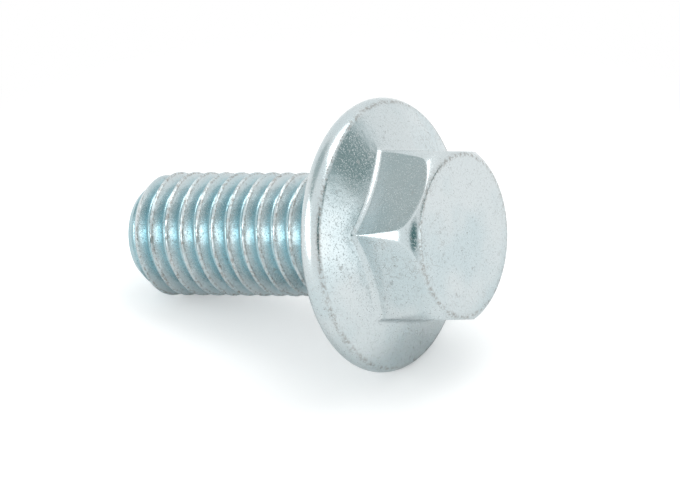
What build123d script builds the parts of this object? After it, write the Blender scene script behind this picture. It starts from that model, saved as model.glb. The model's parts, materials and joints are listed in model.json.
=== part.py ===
from build123d import *

import math
import os

# A hexagon flange bolt, M12 x 25, cold forged in one piece, with a metric thread rolled along its shank.
# Millimetres. The origin is the centre of the bearing face, where the bolt's axis crosses it. The bolt is
# built upright on that point, head up, and is then laid down as it comes to rest on a flat surface.

# --- Driving dimensions: the thread and the shank --------------------------------------------------
thread_diameter = 11.8       # over the crests of a rolled M12 thread
pitch = 1.75                 # coarse metric pitch
under_head_length = 24.8     # bearing face to tip, nominal 25
point_diameter = 8.7         # flat end of the tip
point_length = 2.0           # chamfered lead-in at the tip
thread_turn = 305.1          # angle about the axis at which the thread starts to fade, in degrees
neck_fillet = 0.8            # round between the shank and the bearing face

# --- Driving dimensions: the flange ----------------------------------------------------------------
flange_diameter = 26.0       # over the bulge of the free-forged rim
bearing_diameter = 24.6      # flat ring that clamps the work
rim_height = 2.25            # bearing face to the crease above the rim
crease_inset = 0.38          # the crease lies this far inside the bulge
cone_angle = 23.5            # slope of the flange's upper side, in degrees

# --- Driving dimensions: the hexagon ---------------------------------------------------------------
across_flats = 15.84         # spanner size 16
head_height = 10.35          # bearing face to the end face
hex_turn = 2.7               # angle of one corner from the bolt's upper side, in degrees
base_fillet = 0.7            # round where the flats meet the flange
end_face_diameter = 15.3     # flat left in the middle of the end face
corner_fade_height = 2.1     # the corners round over within this distance of the end face
corner_draft = 0.28          # what the dies leave off each corner where that rounding starts
corner_bow = 0.31            # how far that rounding bulges past a straight bevel

# --- Standard proportions of the metric thread -----------------------------------------------------
flank_angle = 30.0                                    # each flank, from the plane across the axis
thread_depth = 0.6134 * pitch                         # crest to root
crest_width = pitch / 8
blank_diameter = thread_diameter - 0.6495 * pitch     # the wire that the thread is rolled on
runout_start = neck_fillet + 1.5 * pitch              # bearing face to where the thread starts to fade
thread_turns = math.ceil((under_head_length - runout_start) / pitch) + 1

# --- Worked-out sizes ------------------------------------------------------------------------------
crest_radius = thread_diameter / 2
blank_radius = blank_diameter / 2
rim_radius = flange_diameter / 2
bearing_radius = bearing_diameter / 2
crease_radius = rim_radius - crease_inset
corner_radius = across_flats / 2 / math.cos(math.radians(30))
stock_end = -runout_start - (thread_turns + 1) * pitch     # the shank is threaded over-long, then pointed
clear = 0.5                                                # how far a cutting shape stands outside its work


def cone_height(radius):
    """Height of the flange's sloping upper side at this distance from the axis."""
    return rim_height + (crease_radius - radius) * math.tan(math.radians(cone_angle))


def flange():
    """One turned profile: neck fillet, bearing face, bulged rim and the cone up to the middle of the head."""
    top_radius = across_flats / 4
    with BuildSketch(Plane.XZ) as profile:
        with BuildLine():
            Line((0, -neck_fillet), (blank_radius, -neck_fillet))
            RadiusArc((blank_radius, -neck_fillet), (blank_radius + neck_fillet, 0), neck_fillet)
            Line((blank_radius + neck_fillet, 0), (bearing_radius, 0))
            ThreePointArc((bearing_radius, 0), (rim_radius, rim_height / 2), (crease_radius, rim_height))
            Polyline(
                (crease_radius, rim_height),
                (top_radius, cone_height(top_radius)),
                (0, cone_height(top_radius)),
                (0, -neck_fillet),
            )
        make_face()
    return revolve(profile.sketch, Axis.Z)


def hexagon():
    """The spanner hexagon, from inside the flange to the end face."""
    outline = RegularPolygon(across_flats / 2, 6, major_radius=False, rotation=hex_turn)
    return extrude(Plane.XY.offset(rim_height / 2) * outline, head_height - rim_height / 2)


def base_edges(head):
    """The six curved edges where the flats run out on the cone."""
    low = cone_height(corner_radius) - base_fillet
    high = cone_height(across_flats / 2) + base_fillet
    return [
        edge
        for edge in head.edges()
        if low < edge.center().Z < high
        and edge.length < across_flats
        and edge.bounding_box().size.Z < head_height / 2
        and math.hypot(edge.center().X, edge.center().Y) < corner_radius
        and edge.geom_type != GeomType.CIRCLE
    ]


def corner_rounding():
    """The ring that the dies leave empty: a slight draft up each corner, then a round onto the end face."""
    start = cone_height(corner_radius) + base_fillet
    fade = head_height - corner_fade_height
    drafted = corner_radius - corner_draft
    end_radius = end_face_diameter / 2
    bevel = math.atan2(corner_fade_height, drafted - end_radius)
    middle = (
        (drafted + end_radius) / 2 + corner_bow * math.sin(bevel),
        (fade + head_height) / 2 + corner_bow * math.cos(bevel),
    )
    outside = corner_radius + clear
    with BuildSketch(Plane.XZ) as profile:
        with BuildLine():
            Line((corner_radius, start), (drafted, fade))
            ThreePointArc((drafted, fade), middle, (end_radius, head_height))
            Polyline(
                (end_radius, head_height),
                (end_radius, head_height + clear),
                (outside, head_height + clear),
                (outside, start),
                (corner_radius, start),
            )
        make_face()
    return revolve(profile.sketch, Axis.Z)


def groove_section():
    """The thread groove's outline at the start of the helix, open past the crest so that it cuts clear."""
    mouth_clear = pitch / 6
    slope = math.tan(math.radians(flank_angle))
    half_mouth = (pitch - crest_width) / 2
    half_root = half_mouth - thread_depth * slope
    half_open = half_mouth + mouth_clear * slope
    with BuildSketch(Plane.XZ) as section:
        Polygon(
            (crest_radius - thread_depth, half_root),
            (crest_radius + mouth_clear, half_open),
            (crest_radius + mouth_clear, -half_open),
            (crest_radius - thread_depth, -half_root),
            align=None,
        )
    return section.sketch


def thread_groove():
    """The groove's full-depth turns up from below the point, and one more turn that climbs out of the blank."""
    section = groove_section()
    bottom = -thread_turns * pitch
    depth_helix = Helix(pitch, -bottom, crest_radius, center=(0, 0, bottom))
    full_depth = sweep(Pos(0, 0, bottom) * section, path=depth_helix, is_frenet=True)
    climb = math.degrees(math.atan(thread_depth / pitch))
    fade_helix = Helix(pitch, pitch, crest_radius, cone_angle=climb)
    fading = sweep(section, path=fade_helix, is_frenet=True)
    place = Pos(0, 0, -runout_start) * Rot(0, 0, thread_turn)
    return place * full_depth, place * fading


def shank_limits():
    """What is kept of the threaded rod: the chamfered point, and the cone down to the bare neck."""
    tip = -under_head_length
    outside = crest_radius + clear
    chamfer_slope = point_length / (crest_radius - point_diameter / 2)
    runout_slope = pitch / (crest_radius - blank_radius)
    with BuildSketch(Plane.XZ) as profile:
        Polygon(
            (0, tip),
            (point_diameter / 2, tip),
            (outside, tip + chamfer_slope * (outside - point_diameter / 2)),
            (outside, -runout_start - runout_slope * (outside - crest_radius)),
            (blank_radius, -runout_start + pitch),
            (blank_radius, rim_height / 2),
            (0, rim_height / 2),
            align=None,
        )
    return revolve(profile.sketch, Axis.Z)


def threaded_shank():
    """An over-long rod is threaded first, and its point and neck are turned afterwards."""
    length = rim_height / 2 - stock_end
    rod = Pos(0, 0, stock_end + length / 2) * Cylinder(crest_radius, length)
    full_depth, fading = thread_groove()
    return (rod - full_depth - fading) & shank_limits()


def upright_bolt():
    """The whole bolt, standing on its axis with the head up."""
    head = flange() + hexagon()
    head = fillet(base_edges(head), base_fillet)
    head -= corner_rounding()
    return head + threaded_shank()


def resting_tilt():
    """The axis's slope when the rim's bulge and the thread's first full crest touch a flat surface."""
    reach = under_head_length - point_length + rim_height / 2
    return math.degrees(math.atan((rim_radius - crest_radius) / reach))


# Laid down: the head points along +X, raised by the flange, and the bolt's upper side leans back with it.
laid_down = Rot(0, 90 - resting_tilt(), 0) * Rot(0, 0, 180)

os.makedirs("parts", exist_ok=True)
flange_bolt = laid_down * upright_bolt()
flange_bolt.label = "flange_bolt"
export_step(flange_bolt, "parts/flange_bolt.step")
print(f"lies at {resting_tilt():.2f} degrees, {flange_bolt.volume:.0f} cubic millimetres of steel")
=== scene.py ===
# %% [markdown]
# # A zinc plated flange bolt
# The real bolt is one piece of steel. Its head and flange are hammered cold between dies, its thread is
# rolled between two grooved plates, and it is then plated with zinc and given a thin, pale blue skin.
# This lesson builds it as one closed mesh: the thread with Geometry Nodes, because it follows a rule, and
# the head from a profile that is worked out for each angle about the axis. Then come metal, floor and light.

import json
import math

import bmesh
import bpy
from mathutils import Matrix, Vector


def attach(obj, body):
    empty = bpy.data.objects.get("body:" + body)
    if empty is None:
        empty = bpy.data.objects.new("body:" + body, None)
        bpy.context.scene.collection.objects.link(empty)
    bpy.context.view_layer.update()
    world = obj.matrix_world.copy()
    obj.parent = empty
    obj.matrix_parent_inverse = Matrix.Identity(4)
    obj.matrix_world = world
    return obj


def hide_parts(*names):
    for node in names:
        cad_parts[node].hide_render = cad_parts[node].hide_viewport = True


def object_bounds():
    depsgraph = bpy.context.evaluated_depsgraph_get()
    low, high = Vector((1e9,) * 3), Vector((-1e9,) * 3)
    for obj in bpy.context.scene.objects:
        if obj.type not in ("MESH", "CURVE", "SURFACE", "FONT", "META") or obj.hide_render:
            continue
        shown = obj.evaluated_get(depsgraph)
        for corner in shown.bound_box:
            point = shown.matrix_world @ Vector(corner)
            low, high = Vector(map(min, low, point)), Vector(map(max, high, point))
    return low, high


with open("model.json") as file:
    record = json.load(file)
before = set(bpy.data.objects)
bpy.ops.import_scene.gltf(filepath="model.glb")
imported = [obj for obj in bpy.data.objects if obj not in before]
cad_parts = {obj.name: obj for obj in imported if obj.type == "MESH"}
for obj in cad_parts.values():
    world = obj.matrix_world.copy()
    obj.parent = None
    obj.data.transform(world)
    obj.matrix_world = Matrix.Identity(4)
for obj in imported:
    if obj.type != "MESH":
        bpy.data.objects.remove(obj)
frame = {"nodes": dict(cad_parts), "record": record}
cad_low, cad_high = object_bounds()
scene = bpy.context.scene
scene.view_settings.view_transform = "Standard"
print("solid from", [round(v, 4) for v in cad_low], "to", [round(v, 4) for v in cad_high])

# %% [markdown]
# ## The bolt's own axes
# The bolt lies on its flange and on its thread's tip, so its axis is tilted. It is easier to shape it
# upright, with its axis on Z and the bearing face at zero, and to lay it down at the end. The record's
# mounts say where the axis points, and one matrix takes millimetres on the upright bolt to its place.

# %% Axes from the record
MM = 0.001
down_the_thread = next(m["axis"] for m in frame["record"]["mounts"] if m["name"] == "thread")
head_way = -Vector(down_the_thread).normalized()
across = Vector((0, -1, 0))
upper_side = across.cross(head_way)
laid_down = Matrix((upper_side, across, head_way)).transposed().to_4x4()
tilt = math.degrees(math.asin(head_way.z))
print(f"the axis rises {tilt:.2f} degrees towards the head")

# %% [markdown]
# ## Sizes
# These are the bolt's sizes in millimetres, as in the solid: an M12 thread with its crests a little worn,
# a 16 mm spanner hexagon, and a flange whose rim bulges because no die closes round it.

# %% Sizes in millimetres
PITCH = 1.75
CREST_RADIUS = 5.9
THREAD_DEPTH = 1.07
BLANK_RADIUS = CREST_RADIUS - 0.325 * PITCH
TIP = -24.8
POINT_RADIUS = 4.35
POINT_LENGTH = 2.0
NECK = -0.8
RUNOUT_START = NECK - 1.5 * PITCH
CREST_HEIGHT_AT_ZERO = -0.533      # a crest's height where it passes the bolt's upper side

RIM_RADIUS = 13.0
BEARING_RADIUS = 12.3
CREASE_RADIUS = 12.62
CREASE_HEIGHT = 2.25
CONE_SLOPE = math.tan(math.radians(23.5))

FLAT_RADIUS = 15.84 / 2
CORNER_RADIUS = FLAT_RADIUS / math.cos(math.radians(30))
HEAD_HEIGHT = 10.35
CORNER_TURN = math.radians(2.7)
BASE_FILLET = 0.7
END_RADIUS = 7.65
CORNER_DRAFT = 0.28
DRAFTED_RADIUS = CORNER_RADIUS - CORNER_DRAFT
FADE_HEIGHT = HEAD_HEIGHT - 2.1
print(f"thread {2 * CREST_RADIUS} x {PITCH} mm, flange {2 * RIM_RADIUS} mm, head {HEAD_HEIGHT} mm high")

# %% [markdown]
# ## One set of angles for the whole bolt
# The hexagon's corners are narrow, and a flange is plain round, so evenly spaced angles would waste points
# on the flats and miss the corners. A sine wave on the angle draws the points together at the six corners.
# Head and thread share the same angles, so that their rings meet point to point.

# %% Angles that bunch at the corners
STEPS = 168
BUNCHING = 0.82


def bunched(angle):
    """An evenly spaced angle, moved so that its neighbours crowd round the hexagon's corners."""
    return angle - BUNCHING / 6 * math.sin(6 * (angle - CORNER_TURN))


angles = [bunched(math.tau * step / STEPS) for step in range(STEPS)]
gaps = [math.degrees(b - a) for a, b in zip(angles, angles[1:])]
print(f"{STEPS} angles, {min(gaps):.2f} to {max(gaps):.2f} degrees apart")

# %% [markdown]
# ## A small kit for node trees
# Node trees read badly as long lists of links. Here a socket is wrapped in a class whose operators add
# Math nodes, so that a formula is written as a formula, and one method adds any other node.


# %% The node kit
class Socket:
    """A node's output that can be used in arithmetic. Each operation adds one Math node."""

    def __init__(self, tree, socket):
        self.tree = tree
        self.socket = socket

    def maths(self, operation, *values, **settings):
        return self.tree.add("ShaderNodeMath", {"operation": operation, **settings}, *values)

    def __add__(self, other):
        return self.maths("ADD", self, other)

    def __radd__(self, other):
        return self.maths("ADD", other, self)

    def __sub__(self, other):
        return self.maths("SUBTRACT", self, other)

    def __rsub__(self, other):
        return self.maths("SUBTRACT", other, self)

    def __mul__(self, other):
        return self.maths("MULTIPLY", self, other)

    def __rmul__(self, other):
        return self.maths("MULTIPLY", other, self)

    def __truediv__(self, other):
        return self.maths("DIVIDE", self, other)

    def at_least(self, other):
        return self.maths("MAXIMUM", self, other)

    def at_most(self, other):
        return self.maths("MINIMUM", self, other)

    def soft_min(self, other, blend):
        return self.maths("SMOOTH_MIN", self, other, blend)

    def soft_max(self, other, blend):
        return self.maths("SMOOTH_MAX", self, other, blend)

    def size(self):
        return self.maths("ABSOLUTE", self)

    def step(self, low, high):
        """A smooth rise from 0 at low to 1 at high."""
        return self.tree.add(
            "ShaderNodeMapRange", {"interpolation_type": "SMOOTHSTEP"}, self, low, high, 0.0, 1.0
        )


class Tree:
    """A node tree, with one method that adds any node."""

    def __init__(self, nodes, links):
        self.nodes = nodes
        self.links = links

    def add(self, kind, settings=None, *values, out=0, **named):
        node = self.nodes.new(kind)
        for name, value in (settings or {}).items():
            setattr(node, name, value)
        inputs = [socket for socket in node.inputs if socket.enabled]
        for socket, value in zip(inputs, values):
            self.feed(socket, value)
        for name, value in named.items():
            self.feed(node.inputs[name.replace("_", " ")], value)
        return Socket(self, node.outputs[out]) if len(node.outputs) else node

    def feed(self, socket, value):
        if isinstance(value, Socket):
            self.links.new(value.socket, socket)
        elif value is not None:
            socket.default_value = value

    def split(self, vector):
        """A vector's three numbers."""
        node = self.nodes.new("ShaderNodeSeparateXYZ")
        self.feed(node.inputs[0], vector)
        return [Socket(self, socket) for socket in node.outputs]

    def mix(self, factor, first, second):
        """One colour blended into another. A Mix node keeps its colours at inputs 6 and 7."""
        node = self.nodes.new("ShaderNodeMix")
        node.data_type = "RGBA"
        for place, value in ((0, factor), (6, first), (7, second)):
            self.feed(node.inputs[place], value)
        return Socket(self, node.outputs[2])


print("node kit ready")

# %% [markdown]
# ## The thread
# A thread is one profile carried round and up the shank. A flat grid is the plainest start: its long side
# becomes the turns, and its short side one pitch. Set Position bends it with the rule of a helix, and each
# turn's upper edge falls on the next turn's lower edge, where Merge by Distance closes it. Heights are held
# between the tip and the neck, which squeezes the spare turns into clean rings. Rolled crests are never
# perfect, so each carries a fine seam where the two lips of metal met, and noise nicks its edges.

# %% Thread values
TURNS = 17
ROWS = 26
LOWEST = CREST_HEIGHT_AT_ZERO - 0.5 * PITCH - 15 * PITCH
HALF_CREST = 0.10            # from a crest's middle to where its flank starts
FLANK_FALL = 1.66            # depth gained for each millimetre along the flank
CREST_ROUND = 0.10
ROOT_ROUND = 0.22
POINT_ROUND = 0.22
WANDER = 0.06                # how far a flank strays from its place
FADE_END = RUNOUT_START + PITCH * 1.15
WELD_DISTANCE = 0.000004
THREAD_SIZES = {
    "Pitch": PITCH,
    "Crest Radius": CREST_RADIUS,
    "Thread Depth": THREAD_DEPTH,
    "Blank Radius": BLANK_RADIUS,
    "Seam Depth": 0.07,
    "Nick Depth": 0.06,
}
print(TURNS, "turns of", ROWS, "rows, from", round(LOWEST, 2), "mm")


# %% Inputs of the thread tree
def thread_group():
    """An empty group with the thread's named inputs, its tree, and the inputs as sockets."""
    group = bpy.data.node_groups.new("rolled thread", "GeometryNodeTree")
    for name in THREAD_SIZES:
        group.interface.new_socket(name, in_out="INPUT", socket_type="NodeSocketFloat")
    group.interface.new_socket("Metal", in_out="INPUT", socket_type="NodeSocketMaterial")
    group.interface.new_socket("Shank", in_out="OUTPUT", socket_type="NodeSocketGeometry")
    tree = Tree(group.nodes, group.links)
    start = group.nodes.new("NodeGroupInput")
    inputs = [Socket(tree, socket) for socket in start.outputs[:len(THREAD_SIZES) + 1]]
    return group, tree, inputs


print("inputs:", ", ".join(THREAD_SIZES), "and Metal")


# %% Rule of the thread
def thread_tree():
    """Node tree that makes the threaded shank, upright and in metres."""
    group, tree, inputs = thread_group()
    pitch, crest, depth, blank, seam_depth, nick_depth, metal = inputs
    grid = tree.add("GeometryNodeMeshGrid", {}, 1.0, 1.0, TURNS * STEPS + 1, ROWS + 1)
    along, over, _ = tree.split(tree.add("GeometryNodeInputPosition"))

    even = (along + 0.5) * (TURNS * math.tau)
    wave = tree.add("ShaderNodeMath", {"operation": "SINE"}, (even - CORNER_TURN) * 6.0)
    angle = even - wave * (BUNCHING / 6)
    height = angle * pitch / math.tau + (over + 0.5) * pitch + LOWEST
    height = height.at_least(TIP).at_most(NECK)
    cosine = tree.add("ShaderNodeMath", {"operation": "COSINE"}, angle)
    sine = tree.add("ShaderNodeMath", {"operation": "SINE"}, angle)

    def noise(scale, detail):
        """Noise on the plain cylinder of the crests, so that both edges of a turn agree."""
        return tree.add(
            "ShaderNodeTexNoise", {"noise_dimensions": "3D"},
            Vector=on_cylinder, Scale=scale, Detail=detail,
        )

    on_cylinder = tree.add("ShaderNodeCombineXYZ", {}, cosine * crest, sine * crest, height)
    rough = noise(1.7, 4.0)
    fine = noise(4.5, 3.0)

    aside = over.size() * pitch
    wander = (rough - 0.5) * WANDER
    flank = (aside - HALF_CREST + wander) * FLANK_FALL
    cut = flank.soft_max(0.0, CREST_ROUND).soft_min(depth, ROOT_ROUND)
    on_crest = 1.0 - aside.step(HALF_CREST, 0.24)
    seam = (1.0 - (aside + wander).size().step(0.015, 0.085)) * seam_depth * rough.step(0.38, 0.6)
    nicks = fine.step(0.56, 0.74) * on_crest * nick_depth
    radius = crest - cut - seam - nicks

    point = (height - TIP) * ((CREST_RADIUS - POINT_RADIUS) / POINT_LENGTH) + POINT_RADIUS
    radius = radius.soft_min(point, POINT_ROUND)
    fade = height.step(RUNOUT_START, FADE_END)
    radius = radius + (blank - radius) * fade

    bent = tree.add("ShaderNodeCombineXYZ", {}, cosine * radius, sine * radius, height)
    bent = tree.add("ShaderNodeVectorMath", {"operation": "SCALE"}, bent, MM)
    shank = tree.add("GeometryNodeSetPosition", {}, Geometry=grid, Position=bent)
    shank = tree.add("GeometryNodeMergeByDistance", {}, Geometry=shank, Distance=WELD_DISTANCE)
    shank = tree.add("GeometryNodeRealizeInstances", {}, Geometry=shank)
    shank = tree.add("GeometryNodeSetMaterial", {}, Geometry=shank, Material=metal)
    end = group.nodes.new("NodeGroupOutput")
    tree.feed(end.inputs["Shank"], shank)
    return group


group = thread_tree()
print("thread tree with", len(group.nodes), "nodes")

# %% [markdown]
# ## The metal
# Zinc under a clear blue passivation is a pale, slightly bluish metal. Close to, it is never even: plating
# crystals leave fine specks, tumbling in the barrel leaves tiny pits and scratches, and the thread's grooves
# are painted a deeper, darker blue, partly the plating's blue and partly painted shade. All of it is worked
# out from the place on the object.

# %% Colours and grains of zinc
# the deep blue is the plating's colour, and in the grooves it is also painted shade
DEEP_BLUE_AND_SHADE = (0.28, 0.53, 0.60, 1.0)
PALE_ZINC = (0.725, 0.775, 0.785, 1.0)
SPECK_BROWN = (0.26, 0.23, 0.20, 1.0)
GRAINS = {                   # scale, detail and roughness of each noise
    "drift": (160.0, 2.0, 0.55),
    "specks": (6200.0, 2.0, 0.7),
    "blots": (1500.0, 4.0, 0.65),
    "blot fields": (330.0, 2.0, 0.55),
    "wear": (2700.0, 4.0, 0.75),
    "hairs": (230.0, 5.0, 0.62),
    "hair fields": (90.0, 2.0, 0.55),
    "crest dirt": (2600.0, 3.0, 0.55),
    "crest edge dirt": (3300.0, 3.0, 0.55),
    "grain": (1900.0, 4.0, 0.6),
    "dents": (420.0, 2.0, 0.55),
}
print(len(GRAINS), "grains")


# %% Places on the plating
class Plating:
    """Where a point of the bolt is, as sockets, and what the plating is like there."""

    def __init__(self, tree):
        self.tree = tree
        self.place = tree.add("ShaderNodeTexCoord", out="Object")
        upright = tree.add(
            "ShaderNodeVectorRotate", {"rotation_type": "Y_AXIS"},
            Vector=self.place, Angle=math.radians(tilt - 90),
        )
        x, y, self.height = tree.split(upright)
        self.out = tree.add("ShaderNodeMath", {"operation": "SQRT"}, x * x + y * y)
        self.shank = 1.0 - self.height.step(-0.0012, -0.0002)
        # the thread's grooves, where painted shade darkens the colour towards deep blue
        self.groove_blue_and_shade = self.shank * (1.0 - self.out.step(0.0049, 0.0058))
        self.crest = self.shank * self.out.step(0.00572, 0.00584)
        self.drift = self.noise("drift")
        self.specks = self.noise("specks").step(0.56, 0.66)
        blot_fields = self.noise("blot fields").step(0.45, 0.62)
        self.blots = self.noise("blots").step(0.57, 0.72) * blot_fields

    def noise(self, grain):
        scale, detail, roughness = GRAINS[grain]
        return self.tree.add(
            "ShaderNodeTexNoise", {},
            Vector=self.place, Scale=scale, Detail=detail, Roughness=roughness,
        )

    def ring(self, radius, width):
        """1 on the circle of this radius in millimetres, fading over the width."""
        return 1.0 - (self.out - radius * MM).size().step(0.0, width * MM)


print("places on the plating ready")


# %% Colour, gloss and relief of the plating
def plating_colour(at):
    """Pale zinc, bluer and darker in the grooves, partly as painted shade, under brown grime."""
    # the grooves' large share of deep blue is painted shade on top of the plating's blue
    blue_and_groove_shade = (0.06 + at.drift.step(0.35, 0.7) * 0.18 + at.groove_blue_and_shade * 0.52).at_most(1.0)
    crease = at.height.step(0.0018, 0.0021) * at.ring(CREASE_RADIUS, 0.35)
    end_edge = at.height.step(0.0098, 0.0102) * at.ring(END_RADIUS, 0.4)
    wear = at.noise("wear").step(0.43, 0.60) * (crease + end_edge).at_most(1.0)
    thin_lines = 1.0 - (at.noise("hairs") - 0.5).size().step(0.002, 0.007)
    hairs = thin_lines * at.noise("hair fields").step(0.48, 0.6)
    crest_edge = at.shank * at.ring(5.77, 0.11)
    dirt = at.specks * 0.26 + at.blots * 0.32 + wear * 0.55 + hairs * 0.3
    dirt = dirt + at.crest * at.noise("crest dirt").step(0.5, 0.62) * 0.45
    dirt = dirt + crest_edge * at.noise("crest edge dirt").step(0.44, 0.56) * 0.5
    return at.tree.mix(dirt.at_most(0.8), at.tree.mix(blue_and_groove_shade, PALE_ZINC, DEEP_BLUE_AND_SHADE), SPECK_BROWN)


def plating_bump(at):
    """Shallow dents, crystal grain, pits under the specks, and long scratches."""
    drawn_out = at.tree.add(
        "ShaderNodeMapping", {}, Vector=at.place, Rotation=(0.5, 0.3, 0.9), Scale=(1.0, 14.0, 14.0)
    )
    scratches = at.tree.add("ShaderNodeTexNoise", {}, Vector=drawn_out, Scale=330.0, Detail=2.0)
    relief = at.noise("dents") * 0.55 + at.noise("grain") * 0.16
    relief = relief - at.specks * 0.05 - scratches.step(0.62, 0.68) * 0.03
    return at.tree.add("ShaderNodeBump", {}, Strength=0.42, Distance=0.00016, Height=relief)


print("plating rules ready")


# %% Zinc material
def new_material(name):
    """A material without nodes, and its tree."""
    material = bpy.data.materials.new(name)
    material.use_nodes = True
    material.node_tree.nodes.clear()
    return material, Tree(material.node_tree.nodes, material.node_tree.links)


def zinc():
    """Blue passivated zinc plating over cold forged steel."""
    material, tree = new_material("blue_zinc")
    at = Plating(tree)
    roughness = 0.15 + at.specks * 0.34 + at.blots * 0.20 + at.crest * 0.16 + at.drift * 0.08
    shader = tree.add(
        "ShaderNodeBsdfPrincipled", {}, Base_Color=plating_colour(at), Roughness=roughness,
        Metallic=1.0, Normal=plating_bump(at),
    )
    tree.add("ShaderNodeOutputMaterial", {}, Surface=shader)
    return material


metal = zinc()
print("material", metal.name, "with", len(metal.node_tree.nodes), "nodes")

# %% [markdown]
# ## The shank
# The tree runs once, on an object that only carries its modifier. The mesh it makes is kept, and the
# carrier goes.

# %% Make the shank
holder = bpy.data.objects.new("shank_maker", bpy.data.meshes.new("shank_maker"))
scene.collection.objects.link(holder)
modifier = holder.modifiers.new("thread", "NODES")
modifier.node_group = group
for item in group.interface.items_tree:
    if item.in_out == "INPUT":
        modifier[item.identifier] = THREAD_SIZES.get(item.name, metal)
evaluated = holder.evaluated_get(bpy.context.evaluated_depsgraph_get())
shank_mesh = bpy.data.meshes.new_from_object(evaluated)
bpy.data.objects.remove(holder)
print("shank:", len(shank_mesh.polygons), "faces")

# %% [markdown]
# ## The head's profile
# Seen from the side, the head is a chain of simple runs: neck fillet, bearing face, bulged rim, cone, base
# fillet, flat, corner rounding and end face. Only the hexagon changes with the angle, so each run is a
# short list of radius and height, worked out for one angle. The same number of points at each angle makes
# the rows of one grid.


# %% Small tools for profiles
def arc(centre, radius, first, last, count):
    """Points on an arc in the plane of radius and height, its angles in degrees."""
    turn = [math.radians(first + (last - first) * step / count) for step in range(count + 1)]
    return [(centre[0] + radius * math.cos(a), centre[1] + radius * math.sin(a)) for a in turn]


def line(first, last, count):
    """Points from first to last, without the first."""
    return [
        tuple(a + (b - a) * step / count for a, b in zip(first, last)) for step in range(1, count + 1)
    ]


def soft_less(a, b, blend):
    """The lesser of two numbers, with the corner between them rounded off."""
    near = max(blend - abs(a - b), 0) / blend
    return min(a, b) - near * near * blend / 4


print("a right angle in three steps:", [tuple(round(v, 2) for v in p) for p in arc((0, 0), 1, 0, 90, 3)])


# %% Rim and rounding
RIM_MARGIN = 0.012           # keeps the rim's facets inside the solid
ROUNDING_STEPS = 24
ROUNDING_BOW = (0.27, 0.17)  # how far the rounding's middle stands out from its chord


def rim():
    """The bulge from the bearing face to the crease, a round through three points."""
    half = CREASE_HEIGHT / 2
    middle = (BEARING_RADIUS + CREASE_RADIUS) / 2
    lean = math.atan2(CREASE_RADIUS - BEARING_RADIUS, CREASE_HEIGHT)
    chord = math.hypot(CREASE_RADIUS - BEARING_RADIUS, CREASE_HEIGHT) / 2
    bulge = RIM_RADIUS - RIM_MARGIN - middle
    radius = (chord**2 + bulge**2) / (2 * bulge)
    inward = bulge - radius
    centre = (middle + inward * math.cos(lean), half - inward * math.sin(lean))
    spread = math.degrees(math.asin(chord / radius))
    turned = math.degrees(lean)
    return arc(centre, radius, -spread - turned, spread - turned, 18)


def rounding():
    """The dies' rounding from the drafted corner in to the end face."""
    first, last = (DRAFTED_RADIUS, FADE_HEIGHT), (END_RADIUS, HEAD_HEIGHT)
    middle = [(a + b) / 2 + bow for a, b, bow in zip(first, last, ROUNDING_BOW)]
    control = [2 * m - (a + b) / 2 for m, a, b in zip(middle, first, last)]
    points = []
    for step in range(ROUNDING_STEPS + 1):
        t = step / ROUNDING_STEPS
        points.append(tuple(
            (1 - t) ** 2 * a + 2 * t * (1 - t) * c + t * t * b for a, c, b in zip(first, control, last)
        ))
    return points


ROUNDING = rounding()
print("rim of", len(rim()), "points and rounding of", len(ROUNDING))


# %% The hexagon at one angle
def die_limit(height):
    """How far out the dies let the corners reach at this height."""
    base = CREASE_HEIGHT + (CREASE_RADIUS - CORNER_RADIUS) * CONE_SLOPE + BASE_FILLET
    if height <= FADE_HEIGHT:
        share = max(height - base, 0) / (FADE_HEIGHT - base)
        return CORNER_RADIUS + (DRAFTED_RADIUS - CORNER_RADIUS) * share
    for (r0, z0), (r1, z1) in zip(ROUNDING, ROUNDING[1:]):
        if height <= z1:
            return r0 + (r1 - r0) * (height - z0) / max(z1 - z0, 1e-9)
    return END_RADIUS


def flat_radius(angle):
    """The plain hexagon's radius at this angle."""
    sector = math.radians(60)
    off = (angle - CORNER_TURN) % sector - sector / 2
    return FLAT_RADIUS / math.cos(off)


def run_out_height(radius):
    """Where the side of the head at this radius meets the die's rounding."""
    low, high = CREASE_HEIGHT, HEAD_HEIGHT
    for _ in range(40):
        middle = (low + high) / 2
        low, high = (middle, high) if die_limit(middle) > radius else (low, middle)
    return low


print("the flat's middle and a corner reach", FLAT_RADIUS, "and", round(CORNER_RADIUS, 2), "mm")


# %% One angle's whole profile
CORNER_BLEND = 0.06          # rounds the corner between two flats
SIDE_BLEND = 0.05            # rounds the meeting of a flat and the die's rounding


def head_profile(angle):
    """Radius and height from the neck round to the end face's rim, at this angle."""
    neck_round = arc((BLANK_RADIUS - NECK, NECK), -NECK, 180, 90, 7)
    bulge = rim()
    side = soft_less(flat_radius(angle), CORNER_RADIUS - CORNER_BLEND / 2, CORNER_BLEND)
    corner_z = CREASE_HEIGHT + (CREASE_RADIUS - side) * CONE_SLOPE
    slope = math.degrees(math.atan(CONE_SLOPE))
    reach = BASE_FILLET * math.tan(math.radians((90 - slope) / 2))
    base = arc((side + BASE_FILLET, corner_z + reach), BASE_FILLET, 270 - slope, 180, 9)
    top = run_out_height(side) if side < DRAFTED_RADIUS else FADE_HEIGHT
    top = min(top, HEAD_HEIGHT - 0.12)
    points = neck_round + line(neck_round[-1], bulge[0], 4) + bulge[1:]
    points += line(bulge[-1], base[0], 12) + base[1:]
    for _, height in line(base[-1], (side, top), 14):
        points.append((soft_less(side, die_limit(height), SIDE_BLEND), height))
    last_radius = points[-1][0]
    for _, height in line((0, top), (0, HEAD_HEIGHT - 0.02), 12):
        points.append((min(last_radius, die_limit(height)), height))
    points.append((END_RADIUS - 0.06, HEAD_HEIGHT))
    return points


print("each angle has", len(head_profile(0.0)), "points")


# %% [markdown]
# ## Head and shank as one skin
# The head's grid is stitched row by row, and its end face closes to the middle in rings. The shank's last
# ring lies exactly on the head's first ring, because both use the same angles.

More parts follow.
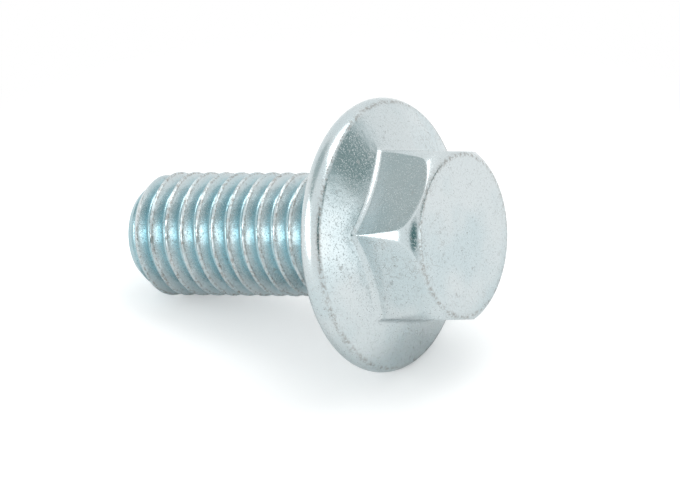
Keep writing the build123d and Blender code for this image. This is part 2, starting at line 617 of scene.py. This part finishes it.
# %% Stitch the head
END_FACE_RINGS = (0.85, 0.68, 0.5, 0.32, 0.15)
skin = bmesh.new()
columns = []
for angle in angles:
    columns.append([
        skin.verts.new((r * math.cos(angle) * MM, r * math.sin(angle) * MM, z * MM))
        for r, z in head_profile(angle)
    ])
for left, right in zip(columns, columns[1:] + columns[:1]):
    for row in range(len(left) - 1):
        skin.faces.new((left[row], right[row], right[row + 1], left[row + 1]))
inner = [column[-1] for column in columns]
end_edge = [column[-1].co.copy() for column in columns]
for share in END_FACE_RINGS:
    ring = [skin.verts.new((spot.x * share, spot.y * share, spot.z)) for spot in end_edge]
    for i in range(STEPS):
        j = (i + 1) % STEPS
        skin.faces.new((inner[i], inner[j], ring[j], ring[i]))
    inner = ring
skin.faces.new(inner)
print("head:", len(skin.faces), "faces")

# %% [markdown]
# ## Weld and close
# What is open after the weld can only be the tip. Its hole is filled with one flat face, and the faces are
# then turned to look outwards.

# %% Weld the shank on
skin.from_mesh(shank_mesh)
bmesh.ops.remove_doubles(skin, verts=skin.verts, dist=0.000006)
open_edges = [edge for edge in skin.edges if edge.is_boundary]
print("open edges before the tip is closed:", len(open_edges))
bmesh.ops.holes_fill(skin, edges=open_edges, sides=0)
bmesh.ops.dissolve_degenerate(skin, dist=0.000001, edges=skin.edges)
bmesh.ops.recalc_face_normals(skin, faces=skin.faces)
print("open edges left:", sum(not edge.is_manifold for edge in skin.edges))

# %% [markdown]
# ## The finished piece
# The matrix from the record lays the bolt down. The piece rides the root body, stands in for the solid and
# keeps its material slot.

# %% Lay it down
bolt_mesh = bpy.data.meshes.new("bolt_skin")
bmesh.ops.transform(skin, matrix=laid_down, verts=skin.verts)
skin.to_mesh(bolt_mesh)
skin.free()
bolt_mesh.materials.clear()
bolt_mesh.materials.append(metal)
bolt_mesh.shade_smooth()
bolt_mesh.set_sharp_from_angle(angle=math.radians(38))
bolt = bpy.data.objects.new("bolt", bolt_mesh)
scene.collection.objects.link(bolt)
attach(bolt, "root")
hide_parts("flange_bolt")
triangles = sum(len(face.vertices) - 2 for face in bolt_mesh.polygons)
print("bolt:", triangles, "triangles")

# %% [markdown]
# ## The solid underneath
# The solid from the frame stays in the file for the physics. It isn't shown, but it is the same metal, so
# it gets the same material.

# %% Finish the hidden solid
solid = frame["nodes"]["flange_bolt"]
solid.data.materials.clear()
solid.data.materials.append(metal)
print(solid.name, "wears", metal.name)

# %% [markdown]
# ## The floor
# The bolt lies on white paper that runs out of sight. The paper is white to the camera and in reflections
# further out, and keeps a soft shadow under the bolt.

# %% Floor
FLOOR_REACH = 3.0
floor_mesh = bpy.data.meshes.new("paper")
corners = [(x * FLOOR_REACH, y * FLOOR_REACH, cad_low.z) for x, y in ((-1, -1), (1, -1), (1, 1), (-1, 1))]
floor_mesh.from_pydata(corners, [], [(0, 1, 2, 3)])
floor = bpy.data.objects.new("floor", floor_mesh)
scene.collection.objects.link(floor)
print("floor at", round(cad_low.z, 5))

# %% Paper
WHITE = (1.0, 1.0, 1.0, 1.0)
SHADOW_LIFT = 0.30           # light that the camera sees in the shadow
WHITE_FROM = (0.03, 0.06)    # the shadowed paper turns plain white between these distances


def paper():
    """White paper that keeps a soft shadow near the bolt and is plain white further out."""
    material, tree = new_material("white_paper")
    plain = tree.add("ShaderNodeBsdfDiffuse", {}, Color=(0.86, 0.86, 0.86, 1.0))
    lift = tree.add("ShaderNodeEmission", {}, Color=WHITE, Strength=SHADOW_LIFT)
    near = tree.add("ShaderNodeAddShader", {}, plain, lift)
    white = tree.add("ShaderNodeEmission", {}, Color=WHITE, Strength=1.0)
    place = tree.add("ShaderNodeTexCoord", out="Object")
    length = tree.add("ShaderNodeVectorMath", {"operation": "LENGTH"}, place, out="Value")
    far = length.step(*WHITE_FROM)
    path = tree.add("ShaderNodeLightPath")
    camera_ray = Socket(tree, path.socket.node.outputs["Is Camera Ray"])
    glossy_ray = Socket(tree, path.socket.node.outputs["Is Glossy Ray"])
    clear_ray = Socket(tree, path.socket.node.outputs["Is Transmission Ray"])
    seen = camera_ray.at_least(glossy_ray).at_least(clear_ray)
    lifted = tree.add("ShaderNodeMixShader", {}, camera_ray, plain, near)
    shade = tree.add("ShaderNodeMixShader", {}, far * seen, lifted, white)
    tree.add("ShaderNodeOutputMaterial", {}, Surface=shade)
    return material


floor_mesh.materials.append(paper())
print("paper laid")

# %% [markdown]
# ## The room
# Bright metal shows nothing but its surroundings, so the light is as much about the dark things in the
# room as about the lamps. Five dark cards give the flange, the hexagon, the corner's rounding and the
# thread their dark fields. One bright patch makes the band along the thread, and another lights the cone
# of the flange. The cards are a little green, so dark zinc stays cool.

# %% Cards and patches
DARK_CARDS = [               # direction, inner and outer angle in degrees, strength
    ((0.76, 0.52, 0.39), 7, 17, 0.78),
    ((0.86, 0.13, 0.52), 5, 12, 0.80),
    ((-0.76, -0.05, 0.65), 12, 28, 0.48),
    ((-0.73, -0.39, 0.56), 5, 12, 0.62),
    ((0.70, -0.54, 0.48), 11, 21, 0.94),
]
THREAD_PATCH = ((-0.61, -0.755, 0.19), 10, 22)
CONE_PATCH = ((0.967, 0.159, 0.18), 8, 22)
ROOM_STRENGTH = 0.93
world = bpy.data.worlds.new("room")
scene.world = world
world.use_nodes = True
world.node_tree.nodes.clear()
tree = Tree(world.node_tree.nodes, world.node_tree.links)
sky = tree.add("ShaderNodeTexCoord", out="Generated")


def towards_card(direction, inner, outer):
    """1 towards this direction, and 0 beyond the outer angle in degrees."""
    towards = tuple(Vector(direction).normalized())
    facing = tree.add("ShaderNodeVectorMath", {"operation": "DOT_PRODUCT"}, sky, towards, out="Value")
    return facing.step(math.cos(math.radians(outer)), math.cos(math.radians(inner)))


print(len(DARK_CARDS), "dark cards and 2 bright patches")

# %% Room light
cards = 0.0
for *card, strength in DARK_CARDS:
    shade = towards_card(*card) * strength
    cards = shade.at_least(cards)
glow = towards_card(*THREAD_PATCH) * 2.0 + towards_card(*CONE_PATCH) * 0.45
brightness = (1.0 - cards) * ROOM_STRENGTH + glow
room = tree.add("ShaderNodeBackground", {}, Color=(0.99, 0.997, 1.0, 1.0), Strength=brightness)
card_tint = tree.add("ShaderNodeBackground", {}, Color=(0.10, 1.0, 1.0, 1.0), Strength=cards * 0.12)
lit = tree.add("ShaderNodeAddShader", {}, room, card_tint)
white = tree.add("ShaderNodeBackground", {}, Color=WHITE, Strength=1.0)
camera_ray = tree.add("ShaderNodeLightPath", out="Is Camera Ray")
seen_room = tree.add("ShaderNodeMixShader", {}, camera_ray, lit, white)
tree.add("ShaderNodeOutputWorld", {}, Surface=seen_room)
print("room with", len(world.node_tree.nodes), "nodes")

# %% [markdown]
# ## The camera
# A very long lens, far off, keeps the flange and the hexagon almost free of perspective. The view comes
# from the head's side and from above.

# %% Camera
LENS_DISTANCE = 0.945
CAMERA_RISE = math.radians(31.9)
CAMERA_SIDE = math.radians(28.6)
CAMERA_ROLL = math.radians(0.36)
LENS = 529.4
LENS_SHIFT = (-31.6 / 680, -12.1 / 680)
to_camera = Vector((
    math.sin(CAMERA_SIDE) * math.cos(CAMERA_RISE),
    -math.cos(CAMERA_SIDE) * math.cos(CAMERA_RISE),
    math.sin(CAMERA_RISE),
))
camera = bpy.data.objects.new("camera", bpy.data.cameras.new("camera"))
scene.collection.objects.link(camera)
camera.data.lens = LENS
camera.data.sensor_width = 36.0
camera.data.shift_x, camera.data.shift_y = LENS_SHIFT
look = (-to_camera).to_track_quat("-Z", "Y").to_matrix().to_4x4()
camera.matrix_world = (
    Matrix.Translation(to_camera * LENS_DISTANCE) @ look @ Matrix.Rotation(CAMERA_ROLL, 4, "Z")
)
scene.camera = camera
print("camera at", [round(v, 3) for v in to_camera * LENS_DISTANCE])

# %% [markdown]
# ## The lamps
# Two weak soft boxes add direction: a wide one over the bolt, for its shadow, and one at its left.


# %% Soft boxes
def soft_box(name, place, width, height, power):
    """A rectangular lamp that faces the bolt."""
    lamp = bpy.data.lights.new(name, "AREA")
    lamp.shape = "RECTANGLE"
    lamp.size = width
    lamp.size_y = height
    lamp.energy = power
    holder = bpy.data.objects.new(name, lamp)
    scene.collection.objects.link(holder)
    place = Vector(place)
    facing = (-place).to_track_quat("-Z", "Y").to_matrix().to_4x4()
    holder.matrix_world = Matrix.Translation(place) @ facing
    print(name, "at", [round(v, 2) for v in place], "with", power, "W")


soft_box("over_light", (0.05, 0.10, 0.42), 0.30, 0.24, 0.45)
soft_box("left_light", (-0.40, -0.28, 0.14), 0.20, 0.14, 0.30)
